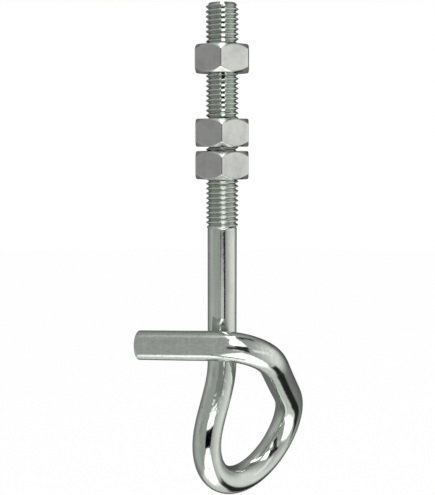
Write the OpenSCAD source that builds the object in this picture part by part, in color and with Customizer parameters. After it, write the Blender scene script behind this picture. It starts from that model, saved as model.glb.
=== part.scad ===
// Pigtail swing hook: one bent steel rod with a threaded stem, and three hexagon nuts.
// The stem stands on the Z axis; the loop hangs below. Zero is the top face of the middle nut,
// where the beam rests. X runs to the side of the loop, and the tail passes the stem on the -Y side.

/* [Stem] */
// Outside diameter of the thread
thread_d = 12; // [8:0.5:16]
// Thread left bare above the top nut
bare_above = 14.7; // [4:0.1:60]
// Clear stretch of thread between the top nut and the middle nut
grip = 16.3; // [6:0.1:140]
// Thread left bare below the lower nut
bare_below = 17.4; // [4:0.1:60]
// Plain stem from the end of the thread to the first bend
plain_l = 50.5; // [34:0.5:90]
// Bevel on the tip of the thread
tip_bevel = 1.2; // [0.4:0.1:2]
// Length over which the thread runs out into the plain rod
runout_l = 1.5; // [0.5:0.1:4]

/* [Rod] */
// Diameter of the plain rod
rod_d = 10.6; // [6:0.1:11.4]
// Bevel on the cut end of the tail
tail_bevel = 0.6; // [0.2:0.1:1.5]

/* [Bends] */
// Radius of the first bend, along the middle of the rod
kink_r = 27; // [20:0.5:40]
// Angle of the first bend
kink_angle = 18; // [10:0.5:30]
// Direction of the first bend, seen from below, measured from +X
kink_turn = 144; // [130:1:160]
// Straight length between the first bend and the coil
drop_l = 14; // [8:0.5:24]
// Radius of the coil
coil_r = 20; // [16:0.5:25]
// Angle through which the coil bends
coil_angle = 246.5; // [238:0.5:256]
// Turn of the rod between the first bend and the coil
coil_turn = 161.5; // [152:0.5:172]
// Turn of the rod along the coil, which makes it climb like a corkscrew
coil_twist = 30; // [18:1:42]
// Straight length between the coil and the last bend
rise_l = 31; // [24:0.5:40]
// Radius of the last bend
crook_r = 15; // [12:0.5:20]
// Angle of the last bend
crook_angle = 93.5; // [80:0.5:104]
// Turn of the rod between the coil and the last bend
crook_turn = -63; // [-74:0.5:-52]
// Straight tail that crosses in front of the stem
tail_l = 31; // [16:0.5:50]

/* [Nuts] */
// Width across the flats of a nut
nut_af = 19; // [16.5:0.5:32]
// Height of a nut
nut_h = 10; // [5:0.5:18]
// Diameter of the flat ring on the end faces, as a share of the width across the flats
ring_share = 0.94; // [0.9:0.01:0.98]
// Angle of the bevel on the corners of a nut
nut_bevel = 48; // [25:1:52]
// Width of the countersink around the bore
sink_w = 0.5; // [0.2:0.1:1]
// Play between the thread and the bore of a nut, all round
thread_play = 0.05; // [0.02:0.01:0.1]
// Gap between the middle nut and the lower nut that locks it
lock_gap = 1.6; // [0.4:0.1:20]
// How far the top nut is turned from a corner pointing to -Y
top_nut_turn = -3; // [-30:0.5:30]
// How far the middle nut is turned
middle_nut_turn = -1; // [-30:0.5:30]
// How far the lower nut is turned
lower_nut_turn = -1; // [-30:0.5:30]

/* [Hidden] */
$fn = 96;

steel = "#b4b9b3";
nut_steel = "#a9ada9";

// Heights along the stem
middle_nut_z = -nut_h;
lower_nut_z = middle_nut_z - lock_gap - nut_h;
top_nut_z = grip;
stem_top_z = top_nut_z + nut_h + bare_above;
thread_end_z = lower_nut_z - bare_below;
plain_end_z = thread_end_z - plain_l;

// The coil is bent in equal short steps, each turned a little against the one before;
// an even number keeps thin and full pieces taking turns along the whole rod
coil_steps = 6;
step_twist = coil_twist / (coil_steps - 1);
step_angle = coil_angle / coil_steps;

// The rod below the stem, piece after piece, each as: turn of the rod, length or radius, angle.
// A piece with no angle is straight.
pieces = concat(
    [[kink_turn, kink_r, kink_angle]],
    [[0, drop_l, 0]],
    [for (k = [1 : coil_steps]) [k == 1 ? coil_turn : step_twist, coil_r, step_angle]],
    [[0, rise_l, 0]],
    [[crook_turn, crook_r, crook_angle]],
    [[0, tail_l, 0]]
);

// Every second piece is a hair thinner and reaches into its neighbours, so each seam is a clean circle
seam = 0.02;
reach = 0.2;

// A straight piece of rod along +Z, longer by an overlap at each end
module straight(length, d, overlap) {
    translate([0, 0, -overlap])
        cylinder(h = length + 2 * overlap, d = d);
}

// A piece of rod that starts along +Z and bends towards +X, longer by an overlap at each end
module bend(radius, angle, d, overlap) {
    more = overlap / radius * 180 / PI;
    translate([radius, 0, 0])
        rotate([90, 0, 0])
            rotate([0, 0, 180 - angle - more])
                rotate_extrude(angle = angle + 2 * more)
                    translate([radius, 0])
                        circle(d = d);
}

// Carries its children to the end of a piece
module after(piece) {
    size = piece[1];
    angle = piece[2];
    if (angle == 0)
        translate([0, 0, size])
            children();
    else
        translate([size * (1 - cos(angle)), 0, size * sin(angle)])
            rotate([0, angle, 0])
                children();
}

// The tail, with its cut end bevelled
module tail(length, d) {
    translate([0, 0, -reach])
        rotate_extrude()
            polygon([
                [0, 0],
                [d / 2, 0],
                [d / 2, length + reach - tail_bevel],
                [d / 2 - tail_bevel, length + reach],
                [0, length + reach]
            ]);
}

// The rod from piece i to the end of the tail, as it is bent one step after another
module rod_from(i) {
    piece = pieces[i];
    thin = i % 2 == 0;
    d = thin ? rod_d - seam : rod_d;
    overlap = thin ? reach : 0;
    rotate([0, 0, piece[0]]) {
        if (i == len(pieces) - 1) {
            tail(piece[1], d);
        } else {
            if (piece[2] == 0)
                straight(piece[1], d, overlap);
            else
                bend(piece[1], piece[2], d, overlap);
            after(piece)
                rod_from(i + 1);
        }
    }
}

// The straight stem: thread at its outside diameter, bevelled tip, run-out and plain rod
module stem() {
    rotate_extrude()
        polygon([
            [0, plain_end_z],
            [rod_d / 2, plain_end_z],
            [rod_d / 2, thread_end_z - runout_l],
            [thread_d / 2, thread_end_z],
            [thread_d / 2, stem_top_z - tip_bevel],
            [thread_d / 2 - tip_bevel, stem_top_z],
            [0, stem_top_z]
        ]);
}

module hook_rod() {
    color(steel)
        union() {
            stem();
            translate([0, 0, plain_end_z])
                rotate([180, 0, 0])
                    rod_from(0);
        }
}

// A hexagon nut standing on Z = 0: corners bevelled at both ends, bore countersunk at both ends
module nut() {
    corner_r = nut_af / 2 / cos(30);
    ring_r = ring_share * nut_af / 2;
    bevel_h = (corner_r - ring_r) * tan(nut_bevel);
    bore_r = thread_d / 2 + thread_play;
    difference() {
        intersection() {
            cylinder(h = nut_h, r = corner_r, $fn = 6);
            rotate_extrude()
                polygon([
                    [0, 0],
                    [ring_r, 0],
                    [corner_r, bevel_h],
                    [corner_r, nut_h - bevel_h],
                    [ring_r, nut_h],
                    [0, nut_h]
                ]);
        }
        rotate_extrude()
            polygon([
                [0, -sink_w],
                [bore_r + sink_w, -sink_w],
                [bore_r + sink_w, 0],
                [bore_r, sink_w],
                [bore_r, nut_h - sink_w],
                [bore_r + sink_w, nut_h],
                [bore_r + sink_w, nut_h + sink_w],
                [0, nut_h + sink_w]
            ]);
    }
}

// A nut on the stem with its underside at a height, a corner towards -Y, turned by an angle
module nut_at(height, turn) {
    color(nut_steel)
        translate([0, 0, height])
            rotate([0, 0, turn - 90])
                nut();
}

module top_nut() {
    nut_at(top_nut_z, top_nut_turn);
}

module middle_nut() {
    nut_at(middle_nut_z, middle_nut_turn);
}

module lower_nut() {
    nut_at(lower_nut_z, lower_nut_turn);
}

hook_rod();
top_nut();
middle_nut();
lower_nut();
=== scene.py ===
"""Looks of the pigtail swing hook: a zinc plated bent rod with a rolled thread, and three hexagon nuts."""

import math

import bmesh
import bpy
import numpy as np
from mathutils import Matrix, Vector


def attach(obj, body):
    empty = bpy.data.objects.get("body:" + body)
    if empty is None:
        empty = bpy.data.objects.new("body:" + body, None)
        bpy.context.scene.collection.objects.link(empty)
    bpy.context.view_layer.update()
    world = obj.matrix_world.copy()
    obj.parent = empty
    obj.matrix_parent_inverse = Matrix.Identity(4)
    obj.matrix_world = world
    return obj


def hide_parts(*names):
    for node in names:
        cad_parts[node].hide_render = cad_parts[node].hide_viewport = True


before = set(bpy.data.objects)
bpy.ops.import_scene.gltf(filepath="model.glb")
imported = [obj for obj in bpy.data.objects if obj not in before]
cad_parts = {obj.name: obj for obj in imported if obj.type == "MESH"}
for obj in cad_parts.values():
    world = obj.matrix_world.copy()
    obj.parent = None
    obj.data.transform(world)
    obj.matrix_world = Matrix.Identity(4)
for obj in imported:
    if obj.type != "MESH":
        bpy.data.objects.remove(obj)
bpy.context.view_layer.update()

MM = 0.001

# Stem, in millimetres; CREST_Z is the height of a crest on the +X side
CREST_R = 5.85
PITCH = 1.75
CREST_Z = 0.28
TIP_Z = 41.0
TIP_BEVEL = 1.2
THREAD_END_Z = -39.0
RUNOUT = 1.5
PLAIN_END_Z = -89.5
ROD_R = 5.3
TAIL_BEVEL = 0.6

# Rolled thread from crest to root: share of half the pitch, depth below the crest
THREAD_CUT = (
    (0.0, 0.0), (0.08, 0.004), (0.13, 0.03), (0.18, 0.085), (0.22, 0.1375),
    (0.80, 0.8985), (0.84, 0.951), (0.89, 1.00), (0.94, 1.028), (1.0, 1.035),
)

# Bends of the rod below the stem: turn of the rod, radius or length, angle (none for a straight)
COIL_STEPS = 6
BENDS = (
    [(144.0, 27.0, 18.0), (0.0, 14.0, 0.0)]
    + [(161.5 if k == 0 else 30.0 / (COIL_STEPS - 1), 20.0, 246.5 / COIL_STEPS) for k in range(COIL_STEPS)]
    + [(0.0, 31.0, 0.0), (-63.0, 15.0, 93.5), (0.0, 31.0, 0.0)]
)

# Nuts, in millimetres and degrees: node, body, height of the underside, turn
NUT_AF = 19.0
NUT_H = 10.0
NUT_RING_R = 0.97 * NUT_AF / 2
NUT_BEVEL = math.radians(49.0)
NUT_BORE_R = 6.05
NUT_SINK = 0.5
NUT_EDGE = 0.2
NUT_CORNER_R = 0.6
NUTS = (
    ("top_nut", "upper_clamp_nut", 16.3, -3.0),
    ("middle_nut", "lower_clamp_nut", -10.0, -1.0),
    ("lower_nut", "lock_nut", -21.6, -1.0),
)

# Points around the rod, spacing of its rings, and how gently its bends start, in millimetres
AROUND = 72
RING_STEP = 0.75
LINE_STEP = 0.25
BEND_EASE = 4.5
BEND_KEEP = 0.9

# Camera of the photograph: place in millimetres, pitch in degrees, focal length and frame height in pixels
CAMERA_AT = (-1.69, -399.1, -6.67)
CAMERA_PITCH = 5.71
FOCAL_PX = 1101.0
FRAME_H_PX = 495.0

# Studio: floor in metres, heights of the cards in millimetres, shades of the overhead strip and the sweep
FLOOR_Z = -0.30
FLOOR_R = 2.5
SHELF_Z = -37.0
CARD_BLACK_Z = -113.0
CARD_BLOTCH_Z = -104.0
OVERHEAD_SHADE = 2.2
SWEEP_SHADE = 1.8
SWEEP_BEHIND = 0.80

# What the plating mirrors, patch by patch, later ones over earlier ones: shade, then azimuth from and to
# (0 in front, + to the right), height from and to, and softness of the edges, all in degrees
PATCHES = (
    # ceiling, paler on the left, with dark gaps at the top right
    (0.38, 135.0, 225.0, 48.0, 88.0, 8.0),
    (0.70, -132.0, -62.0, 66.0, 95.0, 7.0),
    (0.03, 98.0, 124.0, 55.0, 72.0, 6.0),
    (0.05, 62.0, 130.0, 69.0, 80.0, 4.0),
    # dim corner behind on the right
    (0.15, 141.0, 179.0, -12.0, 30.0, 6.0),
    # dark gap low at the back right
    (0.025, 88.0, 128.0, -61.0, -41.0, 4.0),
    (0.025, 124.0, 150.0, -60.0, -36.5, 3.0),
    # dim stretch of the left wall and bright stretch of the right wall, level with the nuts
    (0.335, -76.0, -52.0, -5.0, 9.0, 5.0),
    (0.98, 36.0, 80.0, -3.5, 12.0, 2.0),
    # front: softbox, pale strip, dark opening between them, thin dark slots
    (3.00, -9.0, 26.0, 26.0, 80.0, 2.0),
    (0.70, -8.0, 15.0, -14.0, -6.2, 1.2),
    (0.03, -16.0, 25.0, -3.0, 9.5, 1.5),
    (0.03, 0.0, 28.0, 7.0, 23.0, 2.0),
    (0.01, 4.0, 24.0, -6.3, -2.0, 1.2),
    (0.01, 14.0, 26.0, -12.0, -5.0, 0.8),
    (0.04, -15.0, -6.0, -6.4, -2.0, 0.8),
)


class Wire:
    """One socket of a node tree. Sums, products and so on of wires add Math nodes to the tree."""

    def __init__(self, tree, socket=None):
        self.tree = tree
        self.socket = socket

    def node(self, kind, settings=None, sockets=None, out=0):
        """Adds a node: its settings first, then the values or wires of its sockets."""
        made = self.tree.nodes.new("ShaderNode" + kind)
        for name, value in (settings or {}).items():
            setattr(made, name, value)
        for key, value in (sockets or {}).items():
            if isinstance(value, Wire):
                self.tree.links.new(value.socket, made.inputs[key])
            else:
                made.inputs[key].default_value = value
        return Wire(self.tree, made.outputs[out] if made.outputs else None)

    def math(self, operation, *values):
        return self.node("Math", {"operation": operation}, dict(enumerate(values)))

    def __add__(self, other):
        return self.math("ADD", self, other)

    __radd__ = __add__

    def __sub__(self, other):
        return self.math("SUBTRACT", self, other)

    def __rsub__(self, other):
        return self.math("SUBTRACT", other, self)

    def __mul__(self, other):
        return self.math("MULTIPLY", self, other)

    __rmul__ = __mul__

    def __truediv__(self, other):
        return self.math("DIVIDE", self, other)

    def __rtruediv__(self, other):
        return self.math("DIVIDE", other, self)

    def __neg__(self):
        return self.math("MULTIPLY", self, -1.0)

    def size(self):
        return self.math("ABSOLUTE", self)

    def rise(self, low, high):
        """0 below low, 1 above high, a smooth step between."""
        return self.node(
            "MapRange", {"interpolation_type": "SMOOTHSTEP"},
            {"Value": self, "From Min": low, "From Max": high, "To Min": 0.0, "To Max": 1.0},
        )

    def between(self, low, high, soft):
        """1 from low to high, with soft ends."""
        return self.rise(low - soft, low + soft) * (1 - self.rise(high - soft, high + soft))

    def axis(self, name):
        return self.node("SeparateXYZ", None, {0: self}, out=name)


def mix_colour(first, second, share):
    return share.node("Mix", {"data_type": "RGBA"}, {0: share, 6: first, 7: second}, out=2)


def blend(level, other, mask):
    """level where the mask is 0, other where it is 1."""
    return level + (other - level) * mask


# Rod

def turn_z(degrees):
    c, s = math.cos(math.radians(degrees)), math.sin(math.radians(degrees))
    return np.array([[c, -s, 0.0], [s, c, 0.0], [0.0, 0.0, 1.0]])


def turn_y(degrees):
    c, s = math.cos(math.radians(degrees)), math.sin(math.radians(degrees))
    return np.array([[c, 0.0, s], [0.0, 1.0, 0.0], [-s, 0.0, c]])


def bent_line(start_z, step):
    """Points along the middle of the rod, from the end of the thread to the cut end of the tail."""
    points = [np.array([0.0, 0.0, z]) for z in np.arange(start_z, PLAIN_END_Z, -step)]
    spot = np.array([0.0, 0.0, PLAIN_END_Z])
    facing = np.diag([1.0, -1.0, -1.0])
    for turn, size, angle in BENDS:
        facing = facing @ turn_z(turn)
        length = size if angle == 0 else size * math.radians(angle)
        for t in np.arange(0.0, length, step):
            if angle == 0:
                local = (0.0, 0.0, t)
            else:
                local = (size * (1 - math.cos(t / size)), 0.0, size * math.sin(t / size))
            points.append(spot + facing @ local)
        if angle == 0:
            spot = spot + facing @ (0.0, 0.0, size)
        else:
            bent = math.radians(angle)
            spot = spot + facing @ (size * (1 - math.cos(bent)), 0.0, size * math.sin(bent))
            facing = facing @ turn_y(angle)
    points.append(spot)
    return np.array(points)


def even_line(points, step):
    """The same line with points a step apart."""
    run = np.r_[0.0, np.cumsum(np.linalg.norm(np.diff(points, axis=0), axis=1))]
    places = np.linspace(0.0, run[-1], int(round(run[-1] / step)) + 1)
    return np.stack([np.interp(places, run, points[:, k]) for k in range(3)], axis=1)


def smooth_line(points, reach):
    """The line averaged over this reach; it runs on straight beyond both ends."""
    step = np.linalg.norm(np.diff(points, axis=0), axis=1).mean()
    count = int(3 * reach / step)
    weights = np.exp(-0.5 * (np.arange(-count, count + 1) * step / reach) ** 2)
    weights /= weights.sum()
    far = np.arange(1, count + 1)[:, None]
    before = points[0] + (points[0] - points[1]) * far[::-1]
    after = points[-1] + (points[-1] - points[-2]) * far
    padded = np.vstack([before, points, after])
    return np.stack([np.convolve(padded[:, k], weights, "valid") for k in range(3)], axis=1)


def ease_bends(points, reach):
    """Bends that start and end gently, as a rod bent cold has them; arcs and straights keep their place."""
    once = smooth_line(points, reach)
    return (1 + BEND_KEEP) * once - BEND_KEEP * smooth_line(once, reach)


def rings_along(line, radius):
    """A ring of points around each point of the line, turned as little as possible from one to the next."""
    ways = np.gradient(line, axis=0)
    ways /= np.linalg.norm(ways, axis=1)[:, None]
    across = np.array([1.0, 0.0, 0.0])
    angles = np.arange(AROUND) * 2 * math.pi / AROUND
    rings = []
    for spot, way in zip(line, ways):
        across = across - way * across.dot(way)
        across /= np.linalg.norm(across)
        other = np.cross(across, way)
        rings.append(spot + radius * (np.outer(np.cos(angles), across) + np.outer(np.sin(angles), other)))
    return rings


def thread_radius(z, angle):
    """Radius of the stem at a height and an angle, with the tip's bevel and the run-out."""
    share = (z - CREST_Z - PITCH * angle / (2 * math.pi)) / PITCH
    away = np.abs(((share + 0.5) % 1.0) - 0.5) * 2
    places, depths = zip(*THREAD_CUT)
    radius = CREST_R - np.interp(away, places, depths)
    fade = np.clip((z - (THREAD_END_Z - RUNOUT)) / (2 * RUNOUT), 0.0, 1.0)
    fade = fade * fade * (3 - 2 * fade)
    radius = ROD_R + (radius - ROD_R) * fade
    return np.minimum(radius, CREST_R - TIP_BEVEL + (TIP_Z - z))


def thread_mesh(verts, faces):
    """A right-hand thread as one long spiral strip, from the tip down to the plain rod."""
    places = [place / 2 for place, depth in THREAD_CUT]
    shares = np.array(places + [1.0 - place for place in places[-2:0:-1]])
    rows_a_turn = len(shares)
    low, high = THREAD_END_Z - RUNOUT, TIP_Z
    turns = int(math.ceil((high - low) / PITCH)) + 3
    drop = np.concatenate([shares + k for k in range(turns)]) * PITCH
    first = math.ceil(high / PITCH + 1) * PITCH + CREST_Z
    columns = np.arange(AROUND)
    angles = columns * 2 * math.pi / AROUND
    z = np.clip(first - drop[:, None] + PITCH * columns[None] / AROUND, low, high)
    radius = thread_radius(z, angles[None])
    base = len(verts)
    verts.extend(np.stack([radius * np.cos(angles), radius * np.sin(angles), z], axis=-1).reshape(-1, 3))

    def at(row, column):
        return base + row * AROUND + column

    for row in range(len(drop) - 1):
        for column in range(AROUND):
            if column < AROUND - 1:
                beside = column + 1
                faces.append((at(row, column), at(row + 1, column), at(row + 1, beside), at(row, beside)))
            elif row >= rows_a_turn:
                back = row - rows_a_turn
                faces.append((at(row, column), at(row + 1, column), at(back + 1, 0), at(back, 0)))


def ring_strip(verts, faces, rings):
    """Faces between rings that follow each other."""
    base = len(verts)
    count = len(rings[0])
    for ring in rings:
        verts.extend(ring)
    for row in range(len(rings) - 1):
        for column in range(count):
            beside = (column + 1) % count
            faces.append((
                base + row * count + column, base + (row + 1) * count + column,
                base + (row + 1) * count + beside, base + row * count + beside,
            ))


def end_cap(verts, faces, ring, way, steps):
    """Closes a round end: rings ever smaller, each raised a little along the way out, then a point."""
    middle = np.mean(ring, axis=0)
    rings = [ring] + [middle + (ring - middle) * share + np.array(way) * raised for share, raised in steps]
    ring_strip(verts, faces, rings)
    verts.append(middle + np.array(way) * steps[-1][1])
    last = len(verts) - 1
    count = len(ring)
    for column in range(count):
        faces.append((last - count + column, last, last - count + (column + 1) % count))


def make_piece(name, verts, faces, sharp_angle):
    mesh = bpy.data.meshes.new(name)
    mesh.from_pydata([tuple(v * MM) for v in verts], [], faces)
    form = bmesh.new()
    form.from_mesh(mesh)
    bmesh.ops.remove_doubles(form, verts=form.verts, dist=0.002 * MM)
    bmesh.ops.dissolve_degenerate(form, edges=form.edges, dist=0.001 * MM)
    bmesh.ops.recalc_face_normals(form, faces=form.faces)
    form.to_mesh(mesh)
    form.free()
    mesh.shade_smooth()
    mesh.set_sharp_from_angle(angle=math.radians(sharp_angle))
    piece = bpy.data.objects.new(name, mesh)
    bpy.context.scene.collection.objects.link(piece)
    return piece


def bent_rod():
    line = even_line(bent_line(THREAD_END_Z - RUNOUT, LINE_STEP), LINE_STEP)
    line = even_line(ease_bends(line, BEND_EASE), RING_STEP)
    verts, faces = [], []
    thread_mesh(verts, faces)
    rings = rings_along(line, ROD_R)
    way = line[-1] - line[-2]
    way /= np.linalg.norm(way)
    rings = rings[:-2] + [rings[-1] - way * TAIL_BEVEL]
    ring_strip(verts, faces, rings)
    end_cap(verts, faces, rings[-1], way, [
        (0.985, 0.25), (0.95, 0.42), (0.90, 0.54), (0.86, 0.575), (0.45, 0.59),
    ])
    angles = np.arange(AROUND) * 2 * math.pi / AROUND
    tip_r = CREST_R - TIP_BEVEL
    tip = np.stack([tip_r * np.cos(-angles), tip_r * np.sin(-angles), np.full(AROUND, TIP_Z)], axis=1)
    end_cap(verts, faces, tip, (0.0, 0.0, -1.0), [(0.94, 0.03), (0.90, 0.08), (0.40, 0.08)])
    return make_piece("bent_rod", verts, faces, 40.0)


# Nuts

def hexagon_outline():
    """Points around a hexagon with its corners a little rounded, a corner towards +X."""
    half = NUT_AF / 2 * math.tan(math.radians(30))
    cut = NUT_CORNER_R * math.tan(math.radians(30))
    along = np.linspace(-1.0, 1.0, 21) * (half - cut)
    points = []
    for side in range(6):
        facing = math.radians(60 * side + 30)
        out = np.array([math.cos(facing), math.sin(facing)])
        aside = np.array([-out[1], out[0]])
        points += [out * NUT_AF / 2 + aside * t for t in along]
        centre = out * (NUT_AF / 2 - NUT_CORNER_R) + aside * (half - cut)
        for bend in np.radians([12.0, 24.0, 36.0, 48.0]):
            swing = facing + bend
            points.append(centre + NUT_CORNER_R * np.array([math.cos(swing), math.sin(swing)]))
    return points


def nut_profile(reach):
    """Radius and height down the outside of a nut, where its side lies at this reach from the axis."""
    edge_z = NUT_H - (reach - NUT_RING_R) * math.tan(NUT_BEVEL)
    high = (reach - NUT_EDGE * math.cos(NUT_BEVEL), edge_z + NUT_EDGE * math.sin(NUT_BEVEL))
    low = (reach, edge_z - NUT_EDGE)
    rounding = []
    for t in (0.0, 0.2, 0.4, 0.6, 0.8, 1.0):
        a, b, c = (1 - t) ** 2, 2 * t * (1 - t), t * t
        rounding.append((a * high[0] + b * reach + c * low[0], a * high[1] + b * edge_z + c * low[1]))
    cone = [
        (NUT_RING_R + (high[0] - NUT_RING_R) * t, NUT_H + (high[1] - NUT_H) * t)
        for t in (0.0, 0.12, 0.4, 0.7)
    ]
    inside = [
        (NUT_BORE_R, NUT_H / 2),
        (NUT_BORE_R, NUT_H - NUT_SINK - 0.1),
        (NUT_BORE_R, NUT_H - NUT_SINK),
        (NUT_BORE_R + NUT_SINK - 0.06, NUT_H - 0.06),
        (NUT_BORE_R + NUT_SINK, NUT_H - 0.012),
        (NUT_BORE_R + NUT_SINK + 0.08, NUT_H),
        (NUT_RING_R - 0.10, NUT_H),
    ]
    side = [(reach, low[1] + (NUT_H / 2 - low[1]) * t) for t in (0.08, 0.35, 0.7)]
    top = inside + cone + rounding + side
    return top + [(reach, NUT_H / 2)] + [(r, NUT_H - z) for r, z in reversed(top[1:])]


def hexagon_nut(name, height, turn):
    verts, faces = [], []
    columns = []
    for x, y in hexagon_outline():
        reach = math.hypot(x, y)
        angle = math.atan2(y, x) + math.radians(turn - 90)
        c, s = math.cos(angle), math.sin(angle)
        columns.append([(r * c, r * s, height + z) for r, z in nut_profile(reach)])
    rows = [np.array([column[k] for column in columns]) for k in range(len(columns[0]))]
    ring_strip(verts, faces, rows + rows[:1])
    return make_piece(name, verts, faces, 32.0)


# Finishes

def new_finish(name):
    finish = bpy.data.materials.new(name)
    finish.use_nodes = True
    finish.node_tree.nodes.clear()
    return finish, Wire(finish.node_tree)


def part_spot(start):
    """Place on the part, in millimetres."""
    spot = start.node("TexCoord", out="Object")
    return start.node("VectorMath", {"operation": "SCALE"}, {0: spot, "Scale": 1 / MM})


def grain(spot, size, detail=2.0):
    """Even noise with lumps of about this size in millimetres, from 0 to 1."""
    return spot.node(
        "TexNoise", None, {"Vector": spot, "Scale": 1 / size, "Detail": detail, "Roughness": 0.55},
    )


def specks(spot, size, share):
    """Small round marks: 1 inside a mark, in about this share of the cells."""
    cells = {"Vector": spot, "Scale": 1 / size, "Randomness": 1.0}
    away = spot.node("TexVoronoi", {"feature": "F1"}, cells, out="Distance")
    pick = spot.node("TexVoronoi", {"feature": "F1"}, cells, out="Color")
    pick = spot.node("SeparateColor", None, {"Color": pick}, out="Red")
    return (1 - away.rise(0.10, 0.30)) * (1 - pick.rise(share, share + 0.02))


def off_axis(spot):
    """Distance from the stem's axis, in millimetres."""
    x, y = spot.axis("X"), spot.axis("Y")
    return spot.math("SQRT", x * x + y * y)


def metal(start, colour, roughness, height):
    """Bare plated metal; the height of its marks is in millimetres."""
    normal = start.node("Bump", None, {"Strength": 1.0, "Distance": MM, "Height": height})
    shader = start.node("BsdfPrincipled", None, {
        "Base Color": colour, "Metallic": 1.0, "Roughness": roughness, "Normal": normal,
        "Specular Tint": (0.6, 0.6, 0.6, 1.0),
    })
    start.node("OutputMaterial", None, {"Surface": shader})


def bright_zinc():
    """Bright zinc plate on drawn rod: a green-grey cast, soft ripple, specks, dents at the first bend,
    painted shade in the thread's grooves, a painted highlight on its crests.
    """
    finish, start = new_finish("bright_zinc")
    spot = part_spot(start)
    cloud = grain(spot, 7.0)
    fine = grain(spot, 0.5)
    ripple = grain(spot, 2.2, detail=1.0)
    dents = grain(spot, 3.2, detail=1.0)
    marks = specks(spot, 2.4, 0.10)
    height = spot.axis("Z")
    along = start.node("VectorMath", {"operation": "MULTIPLY"}, {0: spot, 1: (0.12, 1.0, 1.0)})
    streaks = grain(along, 0.7, detail=3.0)
    upright = start.node("VectorMath", {"operation": "MULTIPLY"}, {0: spot, 1: (1.0, 1.0, 0.03)})
    drawn = grain(upright, 1.1, detail=3.0)
    shank = height.between(PLAIN_END_Z, THREAD_END_Z - 3.0, 1.5)
    tail = height.between(-92.0, -68.0, 2.0) * (1 - spot.axis("Y").rise(-10.0, -7.0))
    threaded = height.rise(THREAD_END_Z - 0.5, THREAD_END_Z + 2.0)
    away = off_axis(spot)
    # painted shade: the thread is darker down in its grooves
    groove_shade = (1 - away.rise(CREST_R - 1.1, CREST_R - 0.3)) * threaded
    # painted highlight: the thread is paler along its crests
    crest_highlight = away.rise(CREST_R - 0.16, CREST_R - 0.06) * threaded
    stain = grain(spot, 1.3).rise(0.42, 0.62) * threaded
    colour = mix_colour((0.705, 0.745, 0.685, 1.0), (0.645, 0.69, 0.64, 1.0), cloud.rise(0.35, 0.70))
    colour = mix_colour(colour, (0.40, 0.42, 0.40, 1.0), marks * 0.7)
    colour = mix_colour(colour, (0.50, 0.53, 0.50, 1.0), tail * streaks.rise(0.48, 0.68) * 0.45)
    colour = mix_colour(colour, (0.86, 0.90, 0.84, 1.0), shank * drawn.rise(0.45, 0.68) * 0.45)
    colour = mix_colour(colour, (0.54, 0.60, 0.54, 1.0), stain * 0.5)
    # painted shade in the thread's grooves
    colour = mix_colour(colour, (0.42, 0.46, 0.41, 1.0), groove_shade * 0.35)
    # painted highlight on the thread's crests
    colour = mix_colour(colour, (0.84, 0.87, 0.83, 1.0), crest_highlight * 0.6)
    dull = threaded * (1 - height.rise(-26.0, -20.0))
    roughness = 0.07 + 0.05 * cloud + 0.03 * fine + 0.16 * marks - 0.04 * threaded + 0.14 * dull
    bent = height.between(-109.0, -91.0, 4.0) * (1 - spot.axis("X").rise(3.0, 8.0))
    bumps = (0.016 * ripple + 0.004 * fine - 0.012 * marks + 0.16 * dents * bent) * (1 - 0.75 * threaded)
    metal(start, colour, roughness, bumps)
    return finish


def satin_zinc():
    """Zinc plate on a nut: satin sides with faint lines along the axis, brighter rubbed corners."""
    finish, start = new_finish("satin_zinc")
    spot = part_spot(start)
    cloud = grain(spot, 5.0)
    fine = grain(spot, 0.5)
    drawn = start.node("VectorMath", {"operation": "MULTIPLY"}, {0: spot, 1: (1.0, 1.0, 0.06)})
    lines = grain(drawn, 0.6, detail=3.0)
    marks = specks(spot, 2.0, 0.06)
    rubbed = off_axis(spot).rise(10.35, 10.75)
    colour = mix_colour((0.65, 0.665, 0.635, 1.0), (0.56, 0.575, 0.55, 1.0), cloud.rise(0.35, 0.70))
    colour = mix_colour(colour, (0.42, 0.43, 0.41, 1.0), marks * 0.5)
    colour = mix_colour(colour, (0.72, 0.73, 0.70, 1.0), rubbed * 0.3)
    roughness = 0.15 + 0.06 * cloud + 0.08 * lines - 0.05 * rubbed + 0.10 * marks
    bumps = 0.005 * lines + 0.002 * fine - 0.006 * marks
    metal(start, colour, roughness, bumps)
    return finish


# Studio

def walls(azimuth, height):
    """Shade of the room: grey, dim behind, a little paler to the left and much paler to the right."""
    level = blend(0.40, 0.27, azimuth.size().rise(98.0, 150.0))
    level = level + 0.09 * azimuth.between(-108.0, -60.0, 12.0) * height.between(-60.0, 12.0, 8.0)
    pale = azimuth.rise(18.0, 95.0) * (1 - azimuth.rise(98.0, 142.0))
    return level + 0.50 * pale * height.between(-45.0, 38.0, 22.0)


def sweep(level, azimuth, height):
    """Adds the white sweep below, which reaches highest in front and is dimmer behind."""
    aside = azimuth - 8.0
    edge = azimuth.math("MAXIMUM", 0.125 * aside - 0.675 * aside.size() - 22.0, -64.0)
    edge = blend(edge, -50.0, azimuth.size().rise(100.0, 130.0))
    behind = azimuth.size().rise(60.0, 125.0) * height.rise(-88.0, -74.0)
    white = blend(SWEEP_SHADE, SWEEP_BEHIND, behind)
    return blend(level, white, (edge - height).rise(-5.0, 6.0))


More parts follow.
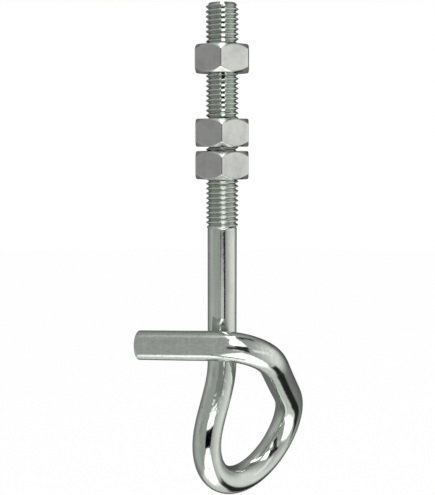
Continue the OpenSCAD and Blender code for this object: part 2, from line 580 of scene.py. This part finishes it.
def studio_surroundings(start):
    """What the plating mirrors: walls, the sweep below, patches over them, a white strip overhead."""
    way = start.node("TexCoord", out="Generated")
    degrees = 180 / math.pi
    azimuth = start.math("ARCTAN2", way.axis("X"), -way.axis("Y")) * degrees
    height = start.math("ARCSINE", way.axis("Z")) * degrees
    clouds = start.node("TexNoise", None, {"Vector": way, "Scale": 4.0, "Detail": 3.0})
    level = sweep(walls(azimuth, height) * (0.88 + 0.24 * clouds), azimuth, height)
    for shade, left, right, low, high, soft in PATCHES:
        aside = start.math("WRAP", azimuth - (left + right) / 2, 180.0, -180.0).size()
        wide = (right - left) / 2
        inside = (1 - aside.rise(wide - soft, wide + soft)) * height.between(low, high, soft)
        level = blend(level, shade, inside)
    overhead = (1 - way.axis("X").size().rise(0.09, 0.13)) * way.axis("Z").rise(0.95, 0.97)
    return blend(level, OVERHEAD_SHADE, overhead)


def seen_rays(start):
    """1 for rays from the camera and for those that a mirror or clear piece sends on."""
    glossy = start.node("LightPath", out="Is Glossy Ray")
    clear = start.node("LightPath", out="Is Transmission Ray")
    mirrored = start.math("MINIMUM", glossy + clear, 1.0)
    return start.node("LightPath", out="Is Camera Ray"), mirrored


def light_studio():
    """White to the camera; the grey and white studio to the plating; plain white light for the floor."""
    world = bpy.data.worlds.new("studio")
    bpy.context.scene.world = world
    world.use_nodes = True
    world.node_tree.nodes.clear()
    start = Wire(world.node_tree)
    camera, mirrored = seen_rays(start)
    strength = blend(blend(1.0, studio_surroundings(start), mirrored), 1.0, camera)
    shade = start.node("Background", None, {"Color": (1.0, 1.0, 1.0, 1.0), "Strength": strength})
    start.node("OutputWorld", None, {"Surface": shade})


def pale_floor():
    """A pale floor under the hanging hook: white to the camera where nothing shades it."""
    finish, start = new_finish("pale_floor")
    tone = mix_colour((0.92, 0.92, 0.92, 1.0), (0.95, 0.95, 0.95, 1.0), grain(part_spot(start), 60.0))
    matt = start.node("BsdfDiffuse", None, {"Color": tone})
    glow = start.node("Emission", None, {"Color": (1.0, 1.0, 1.0, 1.0), "Strength": 1.0})
    camera, mirrored = seen_rays(start)
    seen = start.math("MINIMUM", camera + mirrored, 1.0)
    shade = start.node("MixShader", None, {0: 0.86 * seen, 1: matt, 2: glow})
    start.node("OutputMaterial", None, {"Surface": shade})
    mesh = bpy.data.meshes.new("floor")
    form = bmesh.new()
    bmesh.ops.create_circle(form, cap_ends=True, segments=96, radius=FLOOR_R)
    form.to_mesh(mesh)
    form.free()
    floor = bpy.data.objects.new("floor", mesh)
    floor.location = (0.0, 0.0, FLOOR_Z)
    floor.data.materials.append(finish)
    floor.visible_glossy = False
    bpy.context.scene.collection.objects.link(floor)


def place_card(name, corners, finish):
    """A four-cornered card near the hook that is seen only in its plating; corners in millimetres."""
    mesh = bpy.data.meshes.new(name)
    mesh.from_pydata([Vector(corner) * MM for corner in corners], [], [(0, 1, 2, 3)])
    card = bpy.data.objects.new(name, mesh)
    card.data.materials.append(finish)
    card.visible_camera = False
    card.visible_diffuse = False
    card.visible_shadow = False
    bpy.context.scene.collection.objects.link(card)


def two_tone_card():
    """Close in front of the loop: blotched at the top, then white, then black."""
    finish, start = new_finish("two_tone_card")
    spot = part_spot(start)
    height = spot.axis("Z")
    wide = start.node("VectorMath", {"operation": "MULTIPLY"}, {0: spot, 1: (0.2, 1.0, 1.0)})
    pale = grain(wide, 4.0).rise(0.47, 0.57)
    blotches = mix_colour((0.17, 0.18, 0.18, 1.0), (0.90, 0.92, 0.92, 1.0), pale)
    above = height.rise(CARD_BLACK_Z - 0.6, CARD_BLACK_Z + 0.4)
    shade = mix_colour((0.0, 0.0, 0.0, 1.0), (1.0, 1.0, 1.0, 1.0), above)
    shade = mix_colour(shade, blotches, height.rise(CARD_BLOTCH_Z - 1.0, CARD_BLOTCH_Z + 1.0))
    glow = start.node("Emission", None, {"Color": shade, "Strength": 1.5})
    start.node("OutputMaterial", None, {"Surface": glow})
    place_card("two_tone_card", [(-11, -27, -129), (6, -27, -129), (9, -27, -90), (-11, -27, -90)], finish)


def dark_shelf():
    """A dark shelf in front, below the nuts, that only what lies above it mirrors."""
    finish, start = new_finish("dark_shelf")
    matt = start.node("BsdfDiffuse", None, {"Color": (0.01, 0.01, 0.01, 1.0)})
    clear = start.node("BsdfTransparent")
    below = start.node("NewGeometry", out="Backfacing")
    shade = start.node("MixShader", None, {0: below, 1: matt, 2: clear})
    start.node("OutputMaterial", None, {"Surface": shade})
    outline = ((-34, -250), (130, -250), (20, -38), (-6, -38))
    place_card("dark_shelf", [(x, y, SHELF_Z) for x, y in outline], finish)


def soft_lamp():
    """A large soft lamp above the front, which gives the floor its shadow."""
    data = bpy.data.lights.new("softbox", "AREA")
    data.shape = "RECTANGLE"
    data.size = 0.6
    data.size_y = 0.7
    data.energy = 1.6
    lamp = bpy.data.objects.new("softbox", data)
    lamp.location = (0.15, -0.75, 0.85)
    lamp.rotation_euler = (Vector((0.0, 0.0, -0.05)) - lamp.location).to_track_quat("-Z", "Y").to_euler()
    lamp.visible_glossy = False
    bpy.context.scene.collection.objects.link(lamp)


def photo_camera():
    """The camera of the photograph: close in front, a little above the loop and pitched down."""
    data = bpy.data.cameras.new("camera")
    data.sensor_fit = "VERTICAL"
    data.sensor_height = 24.0
    data.lens = 24.0 * FOCAL_PX / FRAME_H_PX
    data.clip_start = 0.01
    camera = bpy.data.objects.new("camera", data)
    camera.location = [place * MM for place in CAMERA_AT]
    camera.rotation_euler = (math.radians(90.0 - CAMERA_PITCH), 0.0, 0.0)
    bpy.context.scene.collection.objects.link(camera)
    bpy.context.scene.camera = camera


photo_camera()

rod = bent_rod()
rod.data.materials.append(bright_zinc())
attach(rod, "rod")
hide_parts("hook_rod")

nut_finish = satin_zinc()
for node, body, height, turn in NUTS:
    nut = hexagon_nut("hex_" + node, height, turn)
    nut.data.materials.append(nut_finish)
    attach(nut, body)
    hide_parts(node)

light_studio()
pale_floor()
two_tone_card()
dark_shelf()
soft_lamp()

bpy.context.scene.view_settings.view_transform = "Standard"
